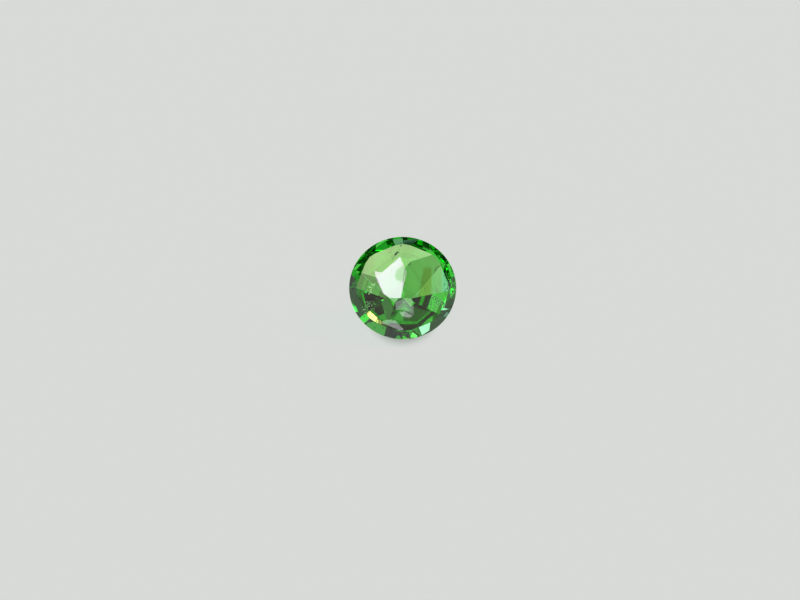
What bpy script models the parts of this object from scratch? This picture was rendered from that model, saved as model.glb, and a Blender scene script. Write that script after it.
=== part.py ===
"""A small round tsavorite garnet, hand cut, lying loose on one facet of its pavilion.

Metres, +Z up. The stone is shaped as a cutter shapes it. A round preform is ground with one flat after
another, first the pavilion below the girdle, then the crown above it, and last the table. While it is cut
the stone's own +Z points out of the table, and its own -Y is the side of the facet that it will lie on.
Then it is leaned over, until that facet is level at z = 0.
"""
import bmesh
import bpy
from math import atan, cos, hypot, radians, sin
from mathutils import Matrix, Vector

MM = 0.001

# The stone's outline and heights
WIDTH = 3.60 * MM     # across the girdle, along X
LENGTH = 3.44 * MM    # across the girdle, along the stone's own Y: it is a little out of round
GIRDLE = 0.10 * MM    # height of the frosted band, where no flat is ground deeper into it
PAVILION = 1.24 * MM  # from the girdle band down to the culet
CROWN = 0.29 * MM     # from the girdle band up to the table
TABLE = 0.82          # distance of the table's edge from the middle, as a share of the girdle's
GIRDLE_STEPS = 96     # straight steps round the outline
WELD = 0.0015 * MM    # corners closer than this are one corner

# The culet's place, off the middle, as in many stones cut by hand to save weight
CULET = Vector((-0.054 * MM, -0.333 * MM, -GIRDLE / 2 - PAVILION))

# The pavilion's flats as direction round the stone and angle from the girdle plane, in degrees. The first
# ones meet at the culet. The others meet the girdle, and also say how far below its band's lower edge, in
# millimetres: shallow ones on the far side, where the band is thicker and where what lies behind the stone
# shows through it, and five steep mains on the near side. The stone lies on the middle one of these, which
# is ground a little deeper than the others and takes off the tip of the culet.
CULET_FLATS = ((131, 30.5), (38, 30.5), (236, 34), (304, 34))
SHALLOW_FLATS = ((165, 34.5, 0.1), (139, 32, 0.07), (131, 34, 0),
                 (84, 34.5, 0.1), (54, 34.5, 0.05), (18, 34, 0))
STEEP_MAINS = ((200, 42, 0), (235, 42, 0), (270, 42, -0.03), (308, 41, 0), (340, 38, 0))
LYING_MAIN = STEEP_MAINS[2]

# The crown: one kite-shaped bezel facet every 45 degrees, and two upper girdle facets beside each
BEZELS = 8
FIRST_BEZEL = 22.5
UPPER_TURN = 11.25  # from a bezel to the upper girdle facet beside it
UPPER_EXTRA = 4.0   # an upper girdle facet is this much steeper than the bezel


def reach(azimuth):
    """How far the girdle's ellipse reaches in the direction azimuth, measured square to its tangent."""
    return hypot(WIDTH / 2 * cos(azimuth), LENGTH / 2 * sin(azimuth))


def girdle_point(azimuth, side, drop=0.0):
    """Where a flat facing azimuth meets the girdle: past the band's upper (side 1) or lower (-1) edge."""
    out = reach(azimuth)
    return Vector((out * cos(azimuth), out * sin(azimuth), side * (GIRDLE / 2 + drop)))


def preform():
    """The rough, ground round: an upright elliptical drum, taller than the finished stone."""
    bm = bmesh.new()
    out, height = WIDTH / 2, 2 * (PAVILION + GIRDLE)
    bmesh.ops.create_cone(bm, cap_ends=True, segments=GIRDLE_STEPS, radius1=out, radius2=out, depth=height)
    bmesh.ops.scale(bm, vec=(1.0, LENGTH / WIDTH, 1.0), verts=bm.verts)
    return bm


def grind(bm, azimuth, angle, through, side):
    """Grinds one flat through a point, at angle to the girdle plane, above it (side 1) or below (-1)."""
    normal = Vector((sin(angle) * cos(azimuth), sin(angle) * sin(azimuth), side * cos(angle)))
    stone = bm.verts[:] + bm.edges[:] + bm.faces[:]
    cut = bmesh.ops.bisect_plane(
        bm, geom=stone, dist=1e-9, plane_co=through, plane_no=normal, clear_outer=True)
    rim = [item for item in cut["geom_cut"] if isinstance(item, bmesh.types.BMEdge)]
    bmesh.ops.holes_fill(bm, edges=rim, sides=0)


def cut_pavilion(bm):
    """The flats that meet the girdle, then the ones that meet at the culet."""
    for direction, angle, drop in SHALLOW_FLATS + STEEP_MAINS:
        azimuth = radians(direction)
        grind(bm, azimuth, radians(angle), girdle_point(azimuth, -1, drop * MM), -1)
    for direction, angle in CULET_FLATS:
        grind(bm, radians(direction), radians(angle), CULET, -1)


def cut_crown(bm):
    """The bezels and upper girdle facets, and then the table across the top."""
    for number in range(BEZELS):
        azimuth = radians(FIRST_BEZEL + 360 / BEZELS * number)
        angle = atan(CROWN / (reach(azimuth) * (1 - TABLE)))
        grind(bm, azimuth, angle, girdle_point(azimuth, 1), 1)
        for turn in (-UPPER_TURN, UPPER_TURN):
            beside = azimuth + radians(turn)
            grind(bm, beside, angle + radians(UPPER_EXTRA), girdle_point(beside, 1), 1)
    grind(bm, 0.0, 0.0, Vector((0.0, 0.0, CROWN + GIRDLE / 2)), 1)


def lay_down(bm):
    """Leans the stone over about X until the main it lies on is level, and sets that facet on z = 0."""
    lean = radians(LYING_MAIN[1])
    bmesh.ops.rotate(bm, cent=(0, 0, 0), matrix=Matrix.Rotation(lean, 3, "X"), verts=bm.verts)
    lows = [min(v.co[axis] for v in bm.verts) for axis in range(3)]
    highs = [max(v.co[axis] for v in bm.verts) for axis in range(3)]
    shift = Vector((-(lows[0] + highs[0]) / 2, -(lows[1] + highs[1]) / 2, -lows[2]))
    bmesh.ops.translate(bm, vec=shift, verts=bm.verts)


def clear_green():
    """Transparent vivid green, as the photograph shows the polished stone."""
    material = bpy.data.materials.new("tsavorite")
    material.use_nodes = True
    shader = material.node_tree.nodes["Principled BSDF"]
    shader.inputs["Base Color"].default_value = (0.10, 0.55, 0.16, 1.0)
    shader.inputs["Roughness"].default_value = 0.03
    shader.inputs["Metallic"].default_value = 0.0
    shader.inputs["IOR"].default_value = 1.74
    shader.inputs["Transmission Weight"].default_value = 1.0
    return material


def make_garnet():
    bm = preform()
    cut_pavilion(bm)
    cut_crown(bm)
    bmesh.ops.remove_doubles(bm, verts=bm.verts, dist=WELD)
    lay_down(bm)
    bmesh.ops.recalc_face_normals(bm, faces=bm.faces)
    mesh = bpy.data.meshes.new("garnet")
    bm.to_mesh(mesh)
    bm.free()
    mesh.materials.append(clear_green())
    garnet = bpy.data.objects.new("garnet", mesh)
    bpy.context.scene.collection.objects.link(garnet)


for leftover in list(bpy.data.objects):
    bpy.data.objects.remove(leftover)
make_garnet()
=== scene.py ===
"""A loose tsavorite garnet, 3.6 mm across, lying on one facet of its pavilion on a pale studio sheet.

Metres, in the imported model's own frame. The stone is see-through: what shows in it is the pale sheet behind
and under it, the dark studio above it with its lights, and its own inclusions, all bent and thrown about by
its facets. While it was cut its table faced up, with +X to the right and +Y away. Places in it are given that
way, from the middle of its girdle band and in millimetres, and are then leaned over with it.
"""
from math import cos, radians, sin, tan

import bmesh
import bpy
import numpy as np
from mathutils import Matrix, Vector


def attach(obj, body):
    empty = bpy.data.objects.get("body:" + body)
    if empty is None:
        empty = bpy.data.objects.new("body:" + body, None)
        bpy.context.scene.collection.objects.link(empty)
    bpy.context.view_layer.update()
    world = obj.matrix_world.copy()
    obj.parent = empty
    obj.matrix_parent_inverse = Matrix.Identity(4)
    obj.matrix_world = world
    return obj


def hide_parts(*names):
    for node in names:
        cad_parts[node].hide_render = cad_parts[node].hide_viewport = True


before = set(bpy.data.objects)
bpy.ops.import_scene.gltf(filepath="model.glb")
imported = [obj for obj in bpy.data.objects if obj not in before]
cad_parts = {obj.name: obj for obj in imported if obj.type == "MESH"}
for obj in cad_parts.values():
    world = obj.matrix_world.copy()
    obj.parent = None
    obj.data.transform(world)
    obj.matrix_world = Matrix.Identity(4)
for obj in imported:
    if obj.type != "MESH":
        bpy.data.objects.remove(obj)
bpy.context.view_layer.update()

# The cut stone: one solid piece of green grossular garnet, ground flat by flat and polished. Its facet edges
# are a hair worn, and the band round its girdle is left frosted from the grinding wheel. An olive growth
# layer stands for its uneven green. Tints on some flats of the pavilion are painted shade, and a brighter
# blue-green rim is painted light.
MM = 0.001
LEAN = radians(42.0)          # the stone leans over this far from table-up, about X
TABLE_HEIGHT = 0.34 * MM      # from the middle of the girdle band up to the table
TABLE_FLATNESS = 0.002 * MM   # corners no further than this below the highest one are on the table
WELD = 0.0005                 # corners closer than this are one, in millimetres
FLAT_STEP = radians(0.4)      # triangles closer in angle than this are one flat
BAND_SLANT = 0.05             # the band's faces point along the table's axis by less than this
EDGE_WEAR = 0.0035            # how far a worn edge reaches into the facets beside it, in millimetres
EDGE_STEP = radians(1.5)      # an edge that turns by no more than this isn't worn
SAME_WAY = cos(radians(0.7))  # a flat within this angle of a listed one is that flat
NO_TINT = (1.0, 1.0, 1.0)
GARNET_IOR = 1.74
DEPTH_COLOUR = (0.2375, 0.9625, 0.20, 1.0)  # the colour that a way through the stone leaves
ABSORPTION = 800.0                          # per metre, of what isn't in that colour
GROWTH_BAND = (0.52 * MM, 0.63 * MM, 0.92 * MM, 1.03 * MM)  # the olive layer's edges across X
GROWTH_SLANT = 0.18                                         # how far its first edge shifts for its length
GROWTH_END = (0.60 * MM, 0.80 * MM)                         # where it fades out, beyond the middle
GROWTH_COLOUR = (0.68, 0.39, 0.05, 1.0)
BRIGHT_RIM = (1.28 * MM, 1.38 * MM)                         # past here a brighter blue-green is painted light on the pavilion
RIM_LIGHT_COLOUR = (0.18, 1.0, 0.70, 1.0)
# Each finer pattern: how many of its marks go to a metre, and the stretch of its noise over which they show
GROWTH_LINES = 9000.0
LINE_EDGE = (0.45, 0.75)
LINE_COLOUR = (0.86, 0.90, 0.78, 1.0)
SMEARS = 900.0
SMEAR_EDGE = (0.58, 0.75)
SMEAR_ROUGHNESS = 0.03
WORN_ROUGHNESS = 0.12
# The frosted band: grit marks all over it and the wheel's grooves round it, as shares of its finish
GRIT = 26000.0
GRIT_SHARE = 0.6
GROOVES = 60000.0
GROOVE_SHARE = 0.4
GROUND_ROUGHNESS = 0.08
MARK_ROUGHNESS = 0.35  # what the strongest mark adds to that
MARK_STRENGTH = 0.5
MARK_DEPTH = 0.006 * MM
# Direction round the stone and angle from the girdle plane, in degrees, and the painted shade tint that this
# flat passes
FLAT_SHADE_TINTS = (
    (131, 34.0, (1.00, 0.89, 0.48)),
    (84, 34.5, (0.97, 0.96, 0.49)),
    (54, 34.5, (1.00, 0.96, 0.57)),
    (38, 30.5, (0.066, 0.276, 0.031)),
    (18, 34.0, (0.27, 0.56, 0.22)),
    (165, 34.5, (0.12, 0.165, 0.055)),
    (139, 32.0, (0.12, 0.165, 0.055)),
)


class Wire:
    """One socket of a node tree. Arithmetic on it adds Math nodes; node() adds any other node."""

    def __init__(self, tree, socket):
        self.tree = tree
        self.socket = socket

    def node(self, kind, settings=None, values=None, out=0):
        node = self.tree.nodes.new(kind)
        for name, value in (settings or {}).items():
            setattr(node, name, value)
        for name, value in (values or {}).items():
            if isinstance(value, Wire):
                self.tree.links.new(value.socket, node.inputs[name])
            else:
                node.inputs[name].default_value = value
        return Wire(self.tree, node.outputs[out])

    def maths(self, operation, *values):
        return self.node("ShaderNodeMath", {"operation": operation}, dict(enumerate(values)))

    def __add__(self, other):
        return self.maths("ADD", self, other)

    def __sub__(self, other):
        return self.maths("SUBTRACT", self, other)

    def __rsub__(self, other):
        return self.maths("SUBTRACT", other, self)

    def __mul__(self, other):
        return self.maths("MULTIPLY", self, other)

    def __truediv__(self, other):
        return self.maths("DIVIDE", self, other)

    def size(self):
        return self.maths("ABSOLUTE", self)

    def larger(self, other):
        return self.maths("MAXIMUM", self, other)

    def smaller(self, other):
        return self.maths("MINIMUM", self, other)

    def step(self, low, high):
        """0 below low and 1 above high, and a rounded climb between them."""
        values = {"Value": self, "From Min": low, "From Max": high}
        return self.node("ShaderNodeMapRange", {"interpolation_type": "SMOOTHSTEP"}, values)

    def dot(self, vector):
        product = {"operation": "DOT_PRODUCT"}
        return self.node("ShaderNodeVectorMath", product, {0: self, 1: vector}, out="Value")

    def noise(self, per_metre, detail):
        """Soft random blotches round this place."""
        return self.node("ShaderNodeTexNoise", None, {"Vector": self, "Scale": per_metre, "Detail": detail})

    def lines(self, per_metre, detail):
        """Soft random lines along this one coordinate."""
        values = {"W": self, "Scale": per_metre, "Detail": detail}
        return self.node("ShaderNodeTexNoise", {"noise_dimensions": "1D"}, values)

    def blend(self, first, second, how="MIX"):
        """The first colour where this is 0 and the second, or its product with the first, where it is 1."""
        values = {"Factor": self, "A": first, "B": second}
        return self.node("ShaderNodeMix", {"data_type": "RGBA", "blend_type": how}, values, out="Result")


def new_material(name):
    """An empty material: its first wire, from which others start, and its output node."""
    material = bpy.data.materials.new(name)
    material.use_nodes = True
    material.node_tree.nodes.clear()
    output = material.node_tree.nodes.new("ShaderNodeOutputMaterial")
    return material, Wire(material.node_tree, None), output


def give_surface(output, start, values):
    """Gives a material's surface a Principled shader with these values."""
    surface = start.node("ShaderNodeBsdfPrincipled", None, values)
    start.tree.links.new(surface.socket, output.inputs["Surface"])


def lean_over():
    """The turn that lays the table-up stone over on its facet."""
    return Matrix.Rotation(LEAN, 3, "X")


TABLE_AXIS = lean_over() @ Vector((0.0, 0.0, 1.0))


def find_middle():
    """The middle of the girdle band: straight below the middle of the table, in the table-up stone."""
    corners = np.array([corner.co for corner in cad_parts["garnet"].data.vertices])
    heights = corners @ np.array(TABLE_AXIS)
    table = corners[heights > heights.max() - TABLE_FLATNESS]
    return Vector((table.min(0) + table.max(0)) / 2) - TABLE_AXIS * TABLE_HEIGHT


MIDDLE = find_middle()


def flat_shade_tint(normal):
    """The painted shade tint that the flat facing this way passes: its own if it is listed, or else no tint.
    """
    own = lean_over().transposed() @ normal
    for turn, angle, colour in FLAT_SHADE_TINTS:
        around, tilt = radians(turn), radians(angle)
        if own.dot(Vector((sin(tilt) * cos(around), sin(tilt) * sin(around), -cos(tilt)))) > SAME_WAY:
            return Vector(colour)
    return Vector(NO_TINT)


def polish_stone(node):
    """A copy of the ground solid: its triangles merged into whole facets, and every facet edge a little worn.

    It is worked in millimetres, because Blender's smallest distances suit large things. Each face says, in
    "girdle", whether it is on the frosted band, in "worn", whether it is a worn edge, in "pavilion", whether
    it faces down in the table-up stone, and in "tint", which painted shade tint it passes.
    """
    bm = bmesh.new()
    bm.from_mesh(node.data)
    bmesh.ops.scale(bm, vec=(1 / MM, 1 / MM, 1 / MM), verts=bm.verts)
    bmesh.ops.remove_doubles(bm, verts=bm.verts, dist=WELD)
    bmesh.ops.dissolve_limit(bm, angle_limit=FLAT_STEP, verts=bm.verts, edges=bm.edges)
    girdle = bm.faces.layers.float.new("girdle")
    worn = bm.faces.layers.float.new("worn")
    pavilion = bm.faces.layers.float.new("pavilion")
    tint = bm.faces.layers.float_vector.new("tint")
    for face in bm.faces:
        up = face.normal.dot(TABLE_AXIS)
        face[girdle] = float(abs(up) < BAND_SLANT)
        face[pavilion] = float(up < -BAND_SLANT)
        # painted shade: the listed flats darken and tint what shows through them
        face[tint] = flat_shade_tint(face.normal)
    edges = [edge for edge in bm.edges
             if edge.calc_face_angle() > EDGE_STEP and not all(side[girdle] for side in edge.link_faces)]
    cut = bmesh.ops.bevel(bm, geom=edges, offset=EDGE_WEAR, segments=2, profile=0.5, affect="EDGES")
    for face in cut["faces"]:
        face[worn] = 1.0
        face[girdle] = 0.0
        face[tint] = NO_TINT
    bmesh.ops.scale(bm, vec=(MM, MM, MM), verts=bm.verts)
    mesh = bpy.data.meshes.new("polished_garnet")
    bm.to_mesh(mesh)
    bm.free()
    return mesh


def clear_garnet():
    """Green by absorption through its depth, mirror smooth on the facets and frosted round the girdle.

    A few faint smears dull the facets. On the pavilion the surface also passes its flat's tint, which is
    painted shade, or past BRIGHT_RIM the rim's colour, which is painted light, times the olive layer's colour
    and times that of faint growth lines.
    """
    material, start, output = new_material("tsavorite")
    place = start.node("ShaderNodeTexCoord", out="Object")
    girdle, worn, pavilion = (start.node("ShaderNodeAttribute", {"attribute_name": name}, out="Fac")
                              for name in ("girdle", "worn", "pavilion"))
    across = place.dot((1.0, 0.0, 0.0))
    far_side = lean_over() @ Vector((0.0, 1.0, 0.0))
    away = place.dot(far_side) - MIDDLE.dot(far_side)
    first, full, fading, last = GROWTH_BAND
    slanted = across - away * GROWTH_SLANT
    layer = slanted.step(first, full) * (1 - across.step(fading, last))
    layer = layer * (1 - away.step(*GROWTH_END)) * pavilion
    # Painted shade: each listed flat's tint darkens and tints what shows through it
    tint = start.node("ShaderNodeAttribute", {"attribute_name": "tint"}, out="Color")
    # Painted light: past BRIGHT_RIM the rim's brighter blue-green stands in for light falling there
    tint = (across.step(*BRIGHT_RIM) * pavilion).blend(tint, RIM_LIGHT_COLOUR)
    colour = layer.blend(tint, GROWTH_COLOUR, "MULTIPLY")
    lines = across.lines(GROWTH_LINES, detail=3.0).step(*LINE_EDGE) * pavilion
    colour = lines.blend(colour, LINE_COLOUR, "MULTIPLY")
    grit = place.noise(GRIT, detail=4.0)
    grooves = place.dot(TABLE_AXIS).lines(GROOVES, detail=2.0)
    ground = grit * GRIT_SHARE + grooves * GROOVE_SHARE
    rough = place.noise(SMEARS, detail=3.0).step(*SMEAR_EDGE) * SMEAR_ROUGHNESS
    rough = rough.larger(girdle * (ground * MARK_ROUGHNESS + GROUND_ROUGHNESS)).larger(worn * WORN_ROUGHNESS)
    values = {"Height": ground * girdle, "Strength": MARK_STRENGTH, "Distance": MARK_DEPTH}
    bump = start.node("ShaderNodeBump", None, values)
    values = {"Base Color": colour, "Roughness": rough, "Normal": bump,
              "IOR": GARNET_IOR, "Transmission Weight": 1.0}
    give_surface(output, start, values)
    depth = start.node("ShaderNodeVolumeAbsorption", None, {"Color": DEPTH_COLOUR, "Density": ABSORPTION})
    start.tree.links.new(depth.socket, output.inputs["Volume"])
    return material


def add_piece(name, mesh, material):
    """Puts a finished mesh in the scene as a piece that rides on the stone's one body."""
    mesh.materials.clear()
    mesh.materials.append(material)
    piece = bpy.data.objects.new(name, mesh)
    bpy.context.scene.collection.objects.link(piece)
    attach(piece, "root")
    return piece


garnet = add_piece("polished_garnet", polish_stone(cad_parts["garnet"]), clear_garnet())
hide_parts("garnet")


# The dark inclusions: two healed cracks, each a row of thin ragged flakes of black mineral that grew in it,
# and one short needle. They lie wholly inside the stone, which holds them.
CRACK_SEED = 3
FLAKE_TILT = (0.5, 0.9)       # the least and the most, in radians
FLAKE_THICKNESS = 0.004       # half of it, in millimetres
FLAKE_RAGGEDNESS = 0.32
WAVES = ((3, 0.6), (5, 0.4))  # how many go round a ragged grain, and their share of its raggedness
BLOTCHES = 40000.0            # to the metre
BLOTCH_EDGE = (0.4, 0.65)
MINERAL_COLOUR = (0.030, 0.080, 0.018, 1.0)
BLOTCH_COLOUR = (0.110, 0.200, 0.055, 1.0)
MINERAL_ROUGHNESS = 0.2
BLOTCH_ROUGHNESS = 0.35       # what a blotch adds to that
# Each flake: its place in the table-up stone, half length and half width in millimetres, turn in degrees
CRACK_FLAKES = (
    (-0.235, 1.135, 0.10, 0.060, 0.026, 50), (-0.190, 1.185, 0.11, 0.040, 0.020, 70),
    (-0.155, 1.205, 0.12, 0.036, 0.014, 118), (-0.335, 0.975, 0.08, 0.030, 0.010, 65),
    (-0.295, 1.040, 0.09, 0.026, 0.008, 60), (-0.105, 1.290, 0.12, 0.026, 0.007, 55),
    (-0.060, 1.415, 0.13, 0.034, 0.020, 40), (-0.430, 1.190, 0.10, 0.036, 0.008, 5),
    (1.075, 0.535, 0.05, 0.036, 0.014, 70), (1.095, 0.605, 0.05, 0.036, 0.013, 60),
    (1.130, 0.670, 0.06, 0.034, 0.014, 55), (1.170, 0.700, 0.06, 0.026, 0.010, 30),
    (1.215, 0.720, 0.06, 0.028, 0.012, 12), (1.120, 0.620, 0.04, 0.018, 0.009, 20),
)
NEEDLE = (0.232, 0.797, 0.15, 0.058, 0.017, 3)  # the same of the needle


def turned(spin, tilt):
    """One 3 x 3 turn for each spin about Z and tilt about X, in radians: the tilt comes first."""
    spin_cos, spin_sin, tilt_cos, tilt_sin = np.cos(spin), np.sin(spin), np.cos(tilt), np.sin(tilt)
    rows = [[spin_cos, -spin_sin * tilt_cos, spin_sin * tilt_sin],
            [spin_sin, spin_cos * tilt_cos, -spin_cos * tilt_sin],
            [0 * spin, tilt_sin, tilt_cos]]
    return np.moveaxis(np.array(rows), -1, 0)


def grains(name, places, turns, sizes, ragged, random, steps, rings):
    """Closed rounded bodies in one mesh, from their places, turns and half sizes in millimetres.

    Each is a ball drawn out to its three half sizes. Round its third axis its reach swells and shrinks by the
    share ragged, as three and five waves of random phase. Then it is turned, moved to its place in the
    table-up stone and leaned over with it. Each has this many rings between its two poles, and each ring
    this many steps.
    """
    count = len(places)
    around = np.arange(steps) * 2 * np.pi / steps
    down = np.arange(1, rings + 1) * np.pi / (rings + 1)
    phases = random.uniform(0, 2 * np.pi, (len(WAVES), count, 1))
    ripple = sum(share * np.sin(waves * around + phase) for (waves, share), phase in zip(WAVES, phases))
    swell = 1 + ragged * ripple
    body = np.empty((count, rings, steps, 3))
    body[..., 0] = np.sin(down)[:, None] * (np.cos(around) * swell)[:, None, :]
    body[..., 1] = np.sin(down)[:, None] * (np.sin(around) * swell)[:, None, :]
    body[..., 2] = np.cos(down)[:, None]
    poles = np.broadcast_to([[0.0, 0.0, 1.0], [0.0, 0.0, -1.0]], (count, 2, 3))
    points = np.concatenate([body.reshape(count, -1, 3), poles], axis=1) * sizes[:, None, :]
    points = np.einsum("nij,nkj->nki", turns, points) + places[:, None, :]
    points = np.array(MIDDLE) + points.reshape(-1, 3) * MM @ np.array(lean_over()).T
    here = np.arange(steps)
    there = (here + 1) % steps
    row = np.arange(rings - 1)[:, None] * steps
    sides = np.stack([row + here, row + steps + here, row + steps + there, row + there], -1).reshape(-1, 4)
    top = np.stack([np.full(steps, rings * steps), here, there], -1)
    foot = (rings - 1) * steps
    bottom = np.stack([np.full(steps, rings * steps + 1), foot + there, foot + here], -1)
    starts = np.arange(count)[:, None, None] * (rings * steps + 2)
    faces = []
    for part in (sides, top, bottom):
        faces += (part + starts).reshape(-1, part.shape[1]).tolist()
    mesh = bpy.data.meshes.new(name)
    mesh.from_pydata(points.tolist(), [], faces)
    mesh.shade_smooth()
    return mesh


def dark_mineral():
    """Black-green mineral, paler and duller in blotches some hundredths of a millimetre across."""
    material, start, output = new_material("dark_mineral")
    place = start.node("ShaderNodeTexCoord", out="Object")
    blotch = place.noise(BLOTCHES, detail=3.0).step(*BLOTCH_EDGE)
    colour = blotch.blend(MINERAL_COLOUR, BLOTCH_COLOUR)
    values = {"Base Color": colour, "Roughness": blotch * BLOTCH_ROUGHNESS + MINERAL_ROUGHNESS}
    give_surface(output, start, values)
    return material


def grow_dark():
    """The flakes of both cracks, and the needle, whose outline has six corners.

    The flakes are tilted in the stone. They are made wider than they are listed, so that from straight above
    the table a flake of the mean tilt looks as wide as it is listed.
    """
    random = np.random.default_rng(CRACK_SEED)
    flakes = np.array(CRACK_FLAKES)
    thin = np.full(len(flakes), FLAKE_THICKNESS)
    turns = turned(np.radians(flakes[:, 5]), random.uniform(*FLAKE_TILT, len(flakes)))
    sizes = np.stack([flakes[:, 3], flakes[:, 4] / np.cos(sum(FLAKE_TILT) / 2), thin], -1)
    mineral = dark_mineral()
    mesh = grains("crack_flakes", flakes[:, :3], turns, sizes, FLAKE_RAGGEDNESS, random, steps=22, rings=5)
    add_piece("crack_flakes", mesh, mineral)
    needle = np.array([NEEDLE])
    turns = turned(np.radians(needle[:, 5]), np.zeros(1))
    sizes = needle[:, [3, 4, 4]]
    mesh = grains("needle", needle[:, :3], turns, sizes, 0.0, random, steps=6, rings=9)
    add_piece("needle", mesh, mineral)


grow_dark()


# The pale inclusions: a short string of tiny clear-white crystals, and three patches of healed crack, each
# full of droplets of trapped fluid, which lie side by side in a gently curved layer like a fingerprint.
# In this section lengths are in millimetres and angles in radians.
PALE_SEED = 8
CRYSTAL_STRING = ((-0.985, 0.235, 0.02), (-1.115, -0.190, 0.0))  # its far end and its near one
CRYSTAL_COUNT = 17
CRYSTAL_CROWDING = 0.8                 # under 1 they crowd towards the near end
CRYSTAL_SCATTER = (0.045, 0.02, 0.02)  # how far they stray from the line, as a standard deviation
CRYSTAL_SIZE = (0.012, 0.019)          # half sizes at the far end, the least and the most
CRYSTAL_GROWTH = 0.3                   # the share by which they are larger at the near end
CRYSTAL_SHAPE = (1.4, 1.0, 0.8)        # half sizes along their three axes, as shares
CRYSTAL_RAGGEDNESS = 0.12
CLOUDS = 60000.0                       # to the metre
CLOUD_EDGE = (0.4, 0.7)
# A pair of colours is the clear one and the cloudy one
CRYSTAL_COLOURS = ((0.80, 0.90, 0.72, 1.0), (0.95, 0.98, 0.92, 1.0))
CRYSTAL_GLOWS = ((0.30, 0.48, 0.24, 1.0), (0.55, 0.72, 0.46, 1.0))
CRYSTAL_ROUGHNESS = 0.25
CLOUD_ROUGHNESS = 0.3                  # what a cloud adds to that
SKIN_MARKS = 50000.0                   # to the metre, on a droplet
SKIN_EDGE = (0.4, 0.7)
FLUID_COLOURS = ((0.86, 0.98, 0.86, 1.0), (0.62, 0.85, 0.62, 1.0))
FLUID_ROUGHNESS = 0.02
SKIN_ROUGHNESS = 0.12                  # what a mark adds to that
FLUID_IOR = 1.33
FLUID_CLEARNESS = 0.6
DROPLET_JITTER = 0.25                  # how far one strays off the grid, as a share of its spacing
DROPLET_SPREAD = 0.3                   # of their sizes, as a standard deviation of the logarithm
DROPLET_LIMITS = (0.5, 1.5)            # and the shares of the mean size that end it
DROPLET_SHAPES = ((1.0, 0.7, 0.35), (1.35, 1.0, 0.6))  # half sizes as shares, the least and the most
DROPLET_TILT = 0.2                     # from the table's plane, as a standard deviation
DROPLET_RAGGEDNESS = 0.14
OVAL = (0.86, 0.14, 0.08)              # a patch's reach, and its swell in three and in seven waves round it
OVAL_TURN = 1.0                        # phase of the three waves
SADDLE = 0.05                          # how far a patch's layer bends
RIPPLE = 0.02                          # and how far it ripples, along its width
RIPPLE_TURN = 3                        # how far that wave turns over the half width
# Each patch: its middle, half width and half height, spacing and mean half size
FINGERPRINTS = (
    (1.105, -0.530, 0.06, 0.280, 0.290, 0.068, 0.0235),
    (-1.110, -0.610, 0.05, 0.230, 0.240, 0.080, 0.0280),
    (1.440, 0.120, 0.02, 0.110, 0.360, 0.060, 0.0190),
)


def milky_crystal():
    """Clear-white crystal, cloudier in specks, with a glow that stands for lamps mirrored in its faces."""
    material, start, output = new_material("milky_crystal")
    place = start.node("ShaderNodeTexCoord", out="Object")
    cloud = place.noise(CLOUDS, detail=2.0).step(*CLOUD_EDGE)
    values = {"Base Color": cloud.blend(*CRYSTAL_COLOURS),
              "Roughness": cloud * CLOUD_ROUGHNESS + CRYSTAL_ROUGHNESS,
              "Emission Color": cloud.blend(*CRYSTAL_GLOWS), "Emission Strength": 1.0}
    give_surface(output, start, values)
    return material


def trapped_fluid():
    """Slightly milky fluid with a lower IOR than the garnet's, so that a droplet mirrors at its rim."""
    material, start, output = new_material("trapped_fluid")
    place = start.node("ShaderNodeTexCoord", out="Object")
    skin = place.noise(SKIN_MARKS, detail=2.0).step(*SKIN_EDGE)
    values = {"Base Color": skin.blend(*FLUID_COLOURS), "Roughness": skin * SKIN_ROUGHNESS + FLUID_ROUGHNESS,
              "IOR": FLUID_IOR / GARNET_IOR, "Transmission Weight": FLUID_CLEARNESS}
    give_surface(output, start, values)
    return material


def crystal_string(random):
    """Little crystals scattered along a line, closer together and larger towards its near end."""
    far_end, near_end = np.array(CRYSTAL_STRING)
    along = np.sort(random.uniform(0, 1, CRYSTAL_COUNT) ** CRYSTAL_CROWDING)[:, None]
    stray = random.normal(0, 1, (CRYSTAL_COUNT, 3)) * CRYSTAL_SCATTER
    places = far_end + (near_end - far_end) * along + stray
    turns = turned(*random.uniform(0, np.pi, (2, CRYSTAL_COUNT)))
    sizes = random.uniform(*CRYSTAL_SIZE, (CRYSTAL_COUNT, 1)) * (1 + CRYSTAL_GROWTH * along)
    sizes = sizes * np.array(CRYSTAL_SHAPE)
    return grains("crystal_string", places, turns, sizes, CRYSTAL_RAGGEDNESS, random, steps=7, rings=4)


def fingerprint(name, patch, random):
    """Droplets on a jittered grid inside an oval with a wavy edge, in a layer that is bent like a saddle.

    With u and v as shares of its half width and half height, the layer rises by u times v and ripples as a
    sine of u. The oval ends where the distance of u and v from its middle passes a constant and two sines of
    the angle round it.
    """
    x, y, z, wide, high, spacing, mean_size = patch
    across, up = np.meshgrid(np.arange(-wide, wide, spacing), np.arange(-high, high, spacing))
    across, up = (side.ravel() + random.uniform(-DROPLET_JITTER, DROPLET_JITTER, side.size) * spacing
                  for side in (across, up))
    u, v = across / wide, up / high
    around = np.arctan2(v, u)
    reach, three, seven = OVAL
    kept = np.hypot(u, v) < reach + three * np.sin(3 * around + OVAL_TURN) + seven * np.sin(7 * around)
    u, v, across, up = u[kept], v[kept], across[kept], up[kept]
    places = np.stack([x + across, y + up, z + SADDLE * u * v + RIPPLE * np.sin(RIPPLE_TURN * u)], -1)
    sizes = mean_size * np.exp(random.normal(0, DROPLET_SPREAD, (len(u), 1))).clip(*DROPLET_LIMITS)
    sizes = sizes * random.uniform(*DROPLET_SHAPES, (len(u), 3))
    turns = turned(random.uniform(0, np.pi, len(u)), random.normal(0, DROPLET_TILT, len(u)))
    return grains(name, places, turns, sizes, DROPLET_RAGGEDNESS, random, steps=10, rings=5)


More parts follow.
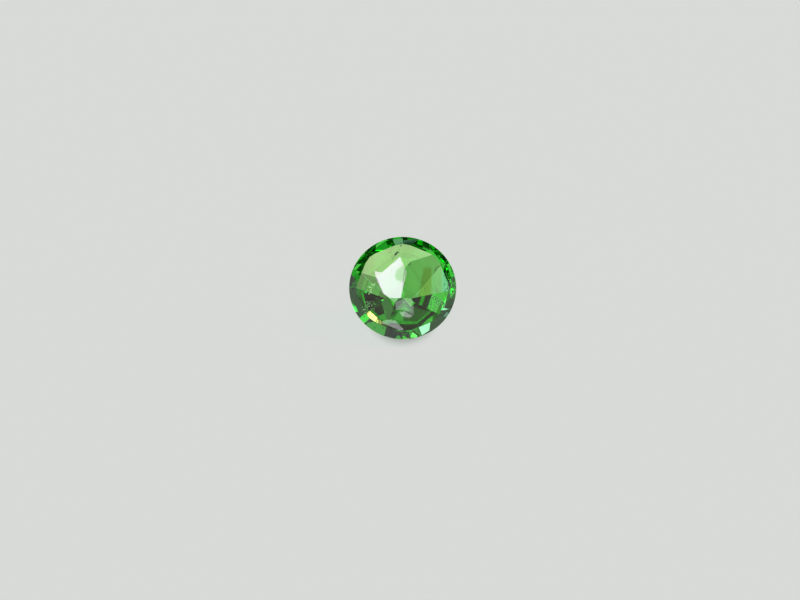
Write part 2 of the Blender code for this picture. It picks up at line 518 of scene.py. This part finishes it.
def grow_pale():
    """The string of crystals, and then the patches of droplets."""
    random = np.random.default_rng(PALE_SEED)
    add_piece("crystal_string", crystal_string(random), milky_crystal())
    fluid = trapped_fluid()
    for number, patch in enumerate(FINGERPRINTS):
        name = f"fingerprint_{number}"
        add_piece(name, fingerprint(name, patch, random), fluid)


grow_pale()


# The studio sheet: matt pale paper, lit evenly from all round, which an even glow of its own stands for. That
# glow also holds a painted shadow where the stone touches it and a painted pool of light behind its culet.
SHEET_SIZE = 1.2                        # in metres
SHEET_COLOUR = (0.14, 0.14, 0.14, 1.0)
SHEET_GLOW = (0.646, 0.683, 0.653, 1.0)
SHADE_GLOW = (0.16, 0.20, 0.16, 1.0)    # painted shadow under the stone
SHADOW_MIDDLE = (0.0, -0.45 * MM, 0.0)
SHADOW_REACH = (0.5 * MM, 1.3 * MM)    # how far the painted shadow goes in full, and where it ends
LIGHT_POOL_GLOW = (0.68, 0.78, 0.66, 1.0)    # painted pool of light, where the stone gathers light
LIGHT_POOL = (0.0, 1.0 * MM, 0.0)
LIGHT_POOL_REACH = (0.35 * MM, 1.1 * MM)
AIR_GAP = 0.004 * MM                    # the facet doesn't wet the sheet


def near(place, middle, reach):
    """1 within the first reach of a point, 0 beyond the second, and a rounded fall between them."""
    away = place.node("ShaderNodeVectorMath", {"operation": "DISTANCE"}, {0: place, 1: middle}, out="Value")
    return 1 - away.step(*reach)


def paper():
    """Matt pale grey paper whose own glow stands for the lights round it, with a painted shadow and pool of
    light.
    """
    material, start, output = new_material("paper")
    place = start.node("ShaderNodeTexCoord", out="Object")
    # Painted shadow under the stone, where they touch
    glow = near(place, SHADOW_MIDDLE, SHADOW_REACH).blend(SHEET_GLOW, SHADE_GLOW)
    # Painted pool of light behind the stone's culet
    glow = near(place, LIGHT_POOL, LIGHT_POOL_REACH).blend(glow, LIGHT_POOL_GLOW)
    values = {"Base Color": SHEET_COLOUR, "Roughness": 1.0, "Emission Color": glow, "Emission Strength": 1.0}
    give_surface(output, start, values)
    return material


def lay_sheet():
    """One flat square round the origin, an air gap below the stone."""
    reach = SHEET_SIZE / 2
    outline = [(-reach, -reach), (reach, -reach), (reach, reach), (-reach, reach)]
    mesh = bpy.data.meshes.new("sheet")
    mesh.from_pydata([(x, y, -AIR_GAP) for x, y in outline], [], [(0, 1, 2, 3)])
    mesh.materials.append(paper())
    sheet = bpy.data.objects.new("sheet", mesh)
    bpy.context.scene.collection.objects.link(sheet)


lay_sheet()


# The camera: a long lens that looks straight down on the table, as the photograph does.
CAMERA_DISTANCE = 100 * MM
SENSOR_WIDTH = 36.0           # in millimetres, as is the lens
NEAREST = 0.001               # in metres: the camera sees nothing closer than this
FURTHEST = 10.0               # nor further away than this
PHOTO_PIXELS = (800, 600)
PHOTO_WIDTH = 26.9 * MM       # what the photograph's width spans at the stone
STONE_PIXEL = (402.7, 288.0)  # the middle of the girdle in the photograph
PIXEL = PHOTO_WIDTH / PHOTO_PIXELS[0]
CAMERA_ACROSS = (PHOTO_PIXELS[0] / 2 - STONE_PIXEL[0]) * PIXEL
CAMERA_UP = (STONE_PIXEL[1] - PHOTO_PIXELS[1] / 2) * PIXEL
CAMERA_PLACE = MIDDLE + lean_over() @ Vector((CAMERA_ACROSS, CAMERA_UP, CAMERA_DISTANCE))


def set_camera():
    """Looks along the table's axis, with the photograph's width in view at the stone."""
    data = bpy.data.cameras.new("camera")
    data.sensor_width = SENSOR_WIDTH
    data.lens = data.sensor_width * CAMERA_DISTANCE / PHOTO_WIDTH
    data.clip_start = NEAREST
    data.clip_end = FURTHEST
    camera = bpy.data.objects.new("camera", data)
    bpy.context.scene.collection.objects.link(camera)
    camera.matrix_world = Matrix.Translation(CAMERA_PLACE) @ lean_over().to_4x4()
    bpy.context.scene.camera = camera


set_camera()


# The studio: a pale wall behind, a dim room in front and dark above, with soft boxes hung in the dark. Small
# panes of light hang where the table mirrors them to the camera.
WALL = (0.68, 0.68, 0.68, 1.0)
ROOM = (0.10, 0.10, 0.10, 1.0)
DARK = (0.010, 0.013, 0.012, 1.0)
WALL_SIDE = (-0.3, 0.3)  # how far a way leads towards +Y while the room turns into the wall
WALL_TOP = (sin(radians(8.0)), sin(radians(20.0)))  # and how far up while both fade into the dark
BOX_EDGE = (0.85, 1.15)  # a box's light falls off between these shares of its half size
BOX_SIDE = (0.0, 0.1)    # and shows only where a way leads further than this towards the box
MOST_BOUNCES = 32
MOST_MIRROR_BOUNCES = 16
# Each soft box: azimuth and elevation, half width and half height in degrees, light
SOFT_BOXES = (
    (3.0, 58.0, 7.0, 4.5, (0.34, 0.36, 0.36)),
    (338.0, 59.0, 4.5, 4.5, (0.10, 0.10, 0.08)),
    (50.0, 75.0, 7.0, 5.0, (0.40, 0.20, 0.45)),
    (206.0, 77.0, 7.0, 6.0, (0.45, 0.42, 0.45)),
    (270.0, 88.0, 8.0, 8.0, (0.35, 0.35, 0.35)),
    (39.0, 73.0, 2.5, 2.5, (0.40, 0.90, 0.40)),
    (121.0, 38.0, 5.5, 4.0, (27.0, 3.6, 8.7)),
    (309.8, 78.2, 1.6, 1.6, (5.0, 1.3, 8.0)),
    (343.6, 35.2, 1.6, 1.6, (5.0, 1.3, 9.0)),
    (331.0, 42.0, 5.0, 4.0, (3.5, 3.0, 3.5)),
    (298.0, 23.0, 4.0, 4.0, (1.2, 2.2, 1.4)),
    (326.0, 24.0, 4.0, 3.0, (1.2, 2.2, 1.4)),
    (256.0, 50.0, 3.0, 3.0, (2.0, 1.6, 2.0)),
    (49.0, 40.0, 3.0, 3.0, (2.0, 2.0, 2.0)),
    (27.0, 31.5, 14.0, 3.0, (0.9, 2.6, 2.0)),
    (358.0, 37.0, 9.0, 3.5, (1.5, 0.42, 2.2)),
    (0.0, 48.0, 4.0, 4.0, (0.55, 0.36, 0.44)),
)
# Each pane: its corners in millimetres where the table shows them, going round to the left, the width of its
# edge there, and its light. A later pane covers an earlier one.
PANES = (
    (((-0.42, -0.335), (-0.06, -0.335), (0.115, 0.50), (0.03, 0.78), (-0.08, 1.05), (-0.90, 0.36),
      (-0.65, -0.20)), 0.02, (7.6, 4.1, 8.2)),
    (((-0.90, 0.36), (-0.70, 0.53), (-0.94, 0.55)), 0.02, (7.6, 4.1, 8.2)),
    (((-0.27, 0.42), (-0.20, 0.27), (0.03, 0.20), (0.12, 0.50), (0.03, 0.78), (-0.05, 0.72), (-0.20, 0.60)),
     0.12, (2.9, 1.5, 2.7)),
    (((-0.25, -0.50), (-0.22, -0.74), (0.02, -0.72), (0.12, -0.45), (0.04, -0.38), (-0.10, -0.41)),
     0.03, (2.5, 2.4, 2.6)),
    (((0.02, -0.72), (0.36, -0.90), (0.37, -0.62), (0.12, -0.45)), 0.03, (2.5, 2.4, 2.6)),
    (((-0.10, -0.83), (-0.02, -0.95), (0.20, -1.00), (0.33, -0.94), (0.05, -0.77)), 0.05, (3.8, 3.6, 3.8)),
    (((-0.67, -1.11), (-0.67, -1.18), (-0.10, -1.43), (0.04, -1.40), (-0.25, -1.09), (-0.46, -1.06)),
     0.03, (3.2, 3.2, 3.2)),
)


def direction(azimuth, elevation):
    """The way from the stone to a point of the studio; azimuth 0 is in front, towards -Y, and 90 is +X."""
    around, up = radians(azimuth), radians(elevation)
    return Vector((sin(around) * cos(up), -cos(around) * cos(up), sin(up)))


def mirrored(x, y):
    """The way to the point of the studio that the camera sees in the table at this place."""
    seen = MIDDLE + TABLE_AXIS * TABLE_HEIGHT + lean_over() @ Vector((x, y, 0.0)) * MM
    return (seen - CAMERA_PLACE).reflect(TABLE_AXIS).normalized()


def box_light(way, azimuth, elevation, half_width, half_height):
    """1 inside a soft box, from how far across and up it a way leads, as shares of its half sizes."""
    out = direction(azimuth, elevation)
    side = Vector((0.0, 0.0, 1.0)).cross(out).normalized()
    ahead = way.dot(out)
    across = (way.dot(side) / ahead).size() / tan(radians(half_width))
    along = (way.dot(out.cross(side)) / ahead).size() / tan(radians(half_height))
    return (1 - across.larger(along).step(*BOX_EDGE)) * ahead.step(*BOX_SIDE)


def pane_light(way, corners, edge):
    """1 inside a pane's outline: on the inner side of every plane through the stone and one of its edges."""
    ways = [mirrored(x, y) for x, y in corners]
    turn = 1 if ways[0].cross(ways[1]).dot(ways[2]) > 0 else -1
    half_edge = edge * MM / CAMERA_DISTANCE / 2
    inside = None
    for here, there in zip(ways, ways[1:] + ways[:1]):
        lit = way.dot(here.cross(there).normalized() * turn).step(-half_edge, half_edge)
        inside = lit if inside is None else inside.smaller(lit)
    return inside


def studio_light():
    """The light from every way: room, wall and dark, then the boxes over these, and then the panes."""
    world = bpy.data.worlds.new("studio")
    world.use_nodes = True
    world.node_tree.nodes.clear()
    start = Wire(world.node_tree, None)
    way = start.node("ShaderNodeTexCoord", out="Generated")
    wall = way.dot((0.0, 1.0, 0.0)).step(*WALL_SIDE).blend(ROOM, WALL)
    light = way.dot((0.0, 0.0, 1.0)).step(*WALL_TOP).blend(wall, DARK)
    for *place, shine in SOFT_BOXES:
        light = box_light(way, *place).blend(light, (*shine, 1.0))
    for corners, edge, shine in PANES:
        light = pane_light(way, corners, edge).blend(light, (*shine, 1.0))
    background = start.node("ShaderNodeBackground", None, {"Color": light})
    output = world.node_tree.nodes.new("ShaderNodeOutputWorld")
    world.node_tree.links.new(background.socket, output.inputs["Surface"])
    bpy.context.scene.world = world
    bpy.context.scene.view_settings.view_transform = "Standard"
    bpy.context.scene.cycles.max_bounces = MOST_BOUNCES
    bpy.context.scene.cycles.transmission_bounces = MOST_BOUNCES
    bpy.context.scene.cycles.glossy_bounces = MOST_MIRROR_BOUNCES


studio_light()
